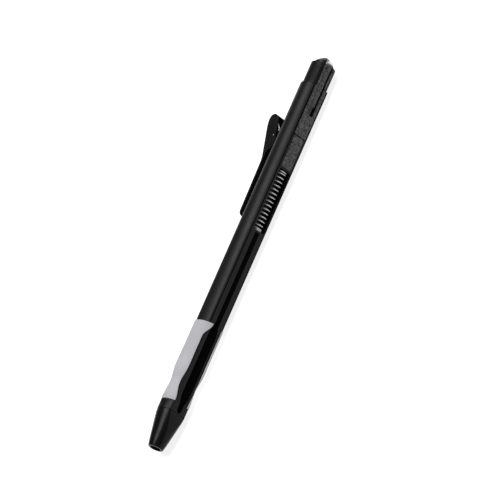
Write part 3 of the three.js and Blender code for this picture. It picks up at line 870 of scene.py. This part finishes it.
def tongue():
    ramp = CHANNEL_FRONT + PRESS + 0.1
    side = [
        (TONGUE_FRONT, -TONGUE_UNDER), (TONGUE_FRONT, 0.1 - TONGUE_NOSE),
        (TONGUE_FRONT + 0.4, -TONGUE_NOSE), (ramp, -TONGUE_NOSE), (ramp + 0.9, -TONGUE_TOP),
    ]
    start = Vector((TONGUE_REAR - 1.9, -TONGUE_TOP))
    middle = Vector((TONGUE_REAR - 0.3, -TONGUE_TOP))
    stop = Vector((TONGUE_REAR, -TONGUE_UNDER))
    side += quadratic(start, middle, stop, 12)
    body = prism("slide_tongue", side, -TONGUE_RIGHT, TONGUE_LEFT, "XZ")
    eased(body, 0.1, 50, 3)
    place(body, "button", TONGUE_FINISH, "panel_grain", "tongue")


# ---------------------------------------------------------------- clip


def arm_outside(x):
    return CLIP_ARM_R + CLIP_ARM_SLOPE * (x - CLIP_FRONT)


CLIP_SLOPE = (CLIP_TAB_R - arm_outside(CLIP_PEAK)) / (CLIP_PEAK - CLIP_BEND - CLIP_BLEND / 2)


def clip_outside(x):
    past = max(x - CLIP_BEND, 0)
    if past < CLIP_BLEND:
        return arm_outside(x) + CLIP_SLOPE * past * past / (2 * CLIP_BLEND)
    return arm_outside(x) + CLIP_SLOPE * (past - CLIP_BLEND / 2)


def flange_edge(x):
    return SEAT_R + 0.1 + CLIP_EDGE_SLOPE * max(x - PIVOT.x + 1.8, 0)


def tab_edge(start, inset):
    """The tab's outside and its round end, as (x, depth below the axis)."""
    finish = CLIP_PEAK - 2.3
    xs = [start + (finish - start) * k / 24 for k in range(25)]
    points = [(x, clip_outside(x) - inset) for x in xs]
    a = Vector(points[-1])
    b = Vector((CLIP_REAR - inset, clip_outside(CLIP_REAR) - 1.2 * inset))
    c = Vector((CLIP_REAR - inset, flange_edge(CLIP_REAR) + CLIP_RIM - inset))
    return points + quadratic(a, b, c, 14, 1)


def clip_outline():
    """The lever seen from its side: arm tip, arm and tab, rounded end, and heel by the pin."""
    inside = arm_outside(CLIP_FRONT) - CLIP_SHEET
    tip = [
        (CLIP_FRONT, inside), (CLIP_FRONT, inside + 0.2), (CLIP_FRONT + 0.35, CLIP_ARM_R - 0.1),
        (CLIP_FRONT + 1.2, arm_outside(CLIP_FRONT + 1.2)),
    ]
    rim = flange_edge(CLIP_REAR)
    start = Vector((CLIP_REAR, rim + CLIP_RIM))
    corner = Vector((CLIP_REAR, rim))
    stop = Vector((CLIP_REAR - 1.8, flange_edge(CLIP_REAR - 1.8)))
    turn = quadratic(start, corner, stop, 8, 1)
    heel = [(PIVOT.x - back, flange_edge(PIVOT.x - back)) for back in (1.8, 3)]
    heel += [(PIVOT.x - 4.3, 4.3), (PIVOT.x - 5.2, 4.7)]
    heel.append((PIVOT.x - 6, arm_outside(PIVOT.x - 6) - CLIP_SHEET))
    return tip + tab_edge(CLIP_BEND, 0) + turn + heel


def clip():
    body = prism("clip_lever_sheet", clip_outline(), -CLIP_HALF, CLIP_HALF, "XZ")
    start = CLIP_BEND + 1.5
    half = CLIP_HALF - 0.55
    hollow = [(start, 0)] + tab_edge(start, CLIP_SHEET) + [(CLIP_REAR - CLIP_SHEET, 0)]
    pocket = prism("pocket", hollow, -half, half, "XZ")
    corners = [round_corner(side) for side in (-1, 1)]
    cut(body, pocket, pin_hole(0.52), *corners)
    eased(body, 0.16, 30, 3)
    place(body, "clip_lever", CLIP_FINISH, "clip_black", "clip")


def round_corner(side):
    """Cuts one lower corner of the arm round, as seen square to the clip."""
    radius = 1.6
    x, y = CLIP_FRONT, side * CLIP_HALF
    angles = [math.pi / 2 * k / 8 for k in range(9)]
    arc = [(x + radius * (1 - math.sin(a)), y - side * radius * (1 - math.cos(a))) for a in angles]
    outer = [(x - 1, y - side * radius), (x - 1, y + side), (x + radius, y + side)]
    return prism("corner", arc + outer, -8, -4.4)


def pin_hole(radius):
    """A cutting rod along the clip's pin."""
    sides = 40
    angles = [2 * math.pi * k / sides for k in range(sides)]
    circle = [(PIVOT.x + radius * math.cos(a), -PIVOT.z + radius * math.sin(a)) for a in angles]
    return prism("hole", circle, -9, 9, "XZ")


def clip_bracket():
    half = BRACKET_HALF
    front, rear = PIVOT.x - 3.6, PIVOT.x + 3.6
    plate_top = -SEAT_R - 0.65
    base = block("bracket_base", front, rear, -half, half, plate_top, -SEAT_R - 0.05, 0.4)
    angles = [math.pi * k / 16 for k in range(17)]
    arc = [(PIVOT.x + EAR_R * math.cos(a), -PIVOT.z + EAR_R * math.sin(a)) for a in angles]
    ear = [(PIVOT.x + 2.4, SEAT_R + 0.1)] + arc + [(PIVOT.x - 2.4, SEAT_R + 0.1)]
    ears = prism("ears", ear, -half, half, "XZ")
    cut(ears, block("gap", PIVOT.x - 5, PIVOT.x + 5, -1.6, 1.6, -12, plate_top))
    join(base, ears)
    cut(base, pin_hole(0.45))
    eased(base, 0.06)
    base.name = "clip_ears"
    place(base, "pen_body", CLIP_FINISH, "clip_black", "clip_bracket")


def clip_pin():
    half = CLIP_HALF - 0.05
    outline = [(-half, 0, 0), (-half, PIN_R, 0.15), (half, PIN_R, 0.15), (half, 0, 0)]
    body = lathe("clip_axle", rounded(outline), 48)
    body.data.transform(Matrix.Translation(PIVOT) @ Matrix.Rotation(math.pi / 2, 4, "Z"))
    place(body, "pen_body", STEEL, "spring_steel", "clip_pin")


def torsion_coil_points():
    """The resting leg on the bracket, then the coil round the pin."""
    points = []
    for k in range(12):
        t = k / 12
        points.append(PIVOT + Vector((3.1 * (1 - t), -TORSION_HALF, 2 * (1 - t) - TORSION_R)))
    for k in range(101):
        u = k / 100
        angle = math.pi * (0.5 + 2 * TORSION_TURNS * u)
        across = TORSION_HALF * (2 * u - 1)
        points.append(PIVOT + Vector((TORSION_R * math.cos(angle), across, -TORSION_R * math.sin(angle))))
    return points


def torsion_leg_points():
    """The leg that runs past the bracket's ear and turns out to the tab."""
    points = []
    for k in range(25):
        t = k / 24
        across = TORSION_HALF + 1.15 * t * t
        points.append(PIVOT + Vector((5.7 * t - 0.2, across, TORSION_R - 1.95 * t - 3.2 * t**8)))
    return points


def clip_spring():
    """The torsion spring. Its coil and resting leg stay on the pen; the other leg follows the clip."""
    coil = tube("torsion_coil", torsion_coil_points(), TORSION_WIRE, 12)
    place(coil, "pen_body", STEEL, "spring_steel", "clip_spring", sharp=60)
    leg = tube("torsion_leg", torsion_leg_points(), TORSION_WIRE, 12)
    place(leg, "clip_lever", STEEL, "spring_steel", sharp=60)


# ---------------------------------------------------------------- refill


def fibre_nib():
    front = along("fibre_nib", 0)
    body = lathe("felt_nib", rounded([
        (front, 0, 0), (front + 0.02, 0.5, 0.3), (front + 1.4, 1.3, 0.8), (front + 2.1, 1.45, 0.4),
        (22, 1.45, 0), (22, 0, 0),
    ], 8), 72)
    place(body, "refill", FELT, "felt", "fibre_nib")


def dress_cad_nodes():
    """Finishes for the inner pieces that keep their CAD shape."""
    finishes = {
        "cam_guide": WHITE, "spring_washer": STEEL, "nib_seal": SEAL, "ink_cartridge": WHITE,
        "ink_reservoir": FELT, "nib_holder": WHITE, "end_plug": WHITE, "plunger_rod": ROD_FINISH,
        "spring_collar": ROD_FINISH, "cam_rotor": WHITE,
    }
    for node, material in finishes.items():
        for material_slot in frame["nodes"][node].material_slots:
            material_slot.material = material


# ---------------------------------------------------------------- stage


def floor():
    f = Finish("floor_white", (0.35, 0.35, 0.35), 0.9, specular=0.1)
    f.set("Emission Color", (1, 1, 1, 1)).set("Emission Strength", 0.84)
    bm = bmesh.new()
    bmesh.ops.create_grid(bm, x_segments=1, y_segments=1, size=3)
    obj = new_object("floor", bm)
    obj.location.z = -0.2 * MM
    obj.data.materials.append(f.material)


def area_light(name, position, target, size_x, size_y, power):
    light = bpy.data.lights.new(name, "AREA")
    light.energy = power
    light.shape = "RECTANGLE"
    light.size = size_x
    light.size_y = size_y
    obj = bpy.data.objects.new(name, light)
    obj.location = position
    obj.rotation_mode = "QUATERNION"
    obj.rotation_quaternion = (Vector(target) - Vector(position)).to_track_quat("-Z", "Y")
    bpy.context.scene.collection.objects.link(obj)


def world(strength):
    studio = bpy.data.worlds.new("studio")
    studio.use_nodes = True
    background = studio.node_tree.nodes["Background"]
    background.inputs["Color"].default_value = (1, 1, 1, 1)
    background.inputs["Strength"].default_value = strength
    bpy.context.scene.world = studio


CAMERA_SIDE = math.radians(37)      # the camera stands this far round from the facet's normal
CAMERA_TILT = math.radians(17)      # and this far towards the nose
CAMERA_LEAN = math.radians(23.76)   # the pen leans this far from upright in the picture
CAMERA_DISTANCE = 4000
CAMERA_LENS = 890
AIM = Vector((72, 0, 0))
AIM_RIGHT = 2.73                    # the picture's centre lies this far to the right of AIM
AIM_DOWN = -0.83                    # and this far below it


def camera_axes():
    """Towards the camera, up along the pen in the picture and to its right, in the row frame."""
    turn = PEN.to_3x3()
    pen_axis = (turn @ Vector((1, 0, 0))).normalized()
    across = (turn @ Vector((0, math.sin(CAMERA_SIDE), math.cos(CAMERA_SIDE)))).normalized()
    towards = (across * math.cos(CAMERA_TILT) - pen_axis * math.sin(CAMERA_TILT)).normalized()
    up = (pen_axis - towards * pen_axis.dot(towards)).normalized()
    right = up.cross(towards)
    return towards, up, right


def camera():
    towards, up, right = camera_axes()
    lean, stand = math.sin(CAMERA_LEAN), math.cos(CAMERA_LEAN)
    image_up = up * stand - right * lean
    image_right = up * lean + right * stand
    data = bpy.data.cameras.new("camera")
    data.lens = CAMERA_LENS
    data.clip_end = 10
    obj = bpy.data.objects.new("camera", data)
    turn = Matrix((image_right, image_up, towards)).transposed().to_4x4()
    centre = PEN @ AIM + (image_right * AIM_RIGHT - image_up * AIM_DOWN) * MM
    obj.matrix_world = Matrix.Translation(centre + towards * CAMERA_DISTANCE * MM) @ turn
    bpy.context.scene.collection.objects.link(obj)
    bpy.context.scene.camera = obj


def lights():
    target = PEN @ AIM
    area_light("overhead", target + Vector((0.3, 0.07, 1.0)), target, 0.62, 1.2, 20)


bpy.context.scene.view_settings.view_transform = "Standard"
world(0.16)
floor()
camera()
lights()

barrel()
nose_cone()
grip_sleeve()
gloss_strip()
panels()
neck_sleeve()
return_spring()
push_button()
tongue()
clip()
clip_bracket()
clip_pin()
clip_spring()
fibre_nib()
dress_cad_nodes()
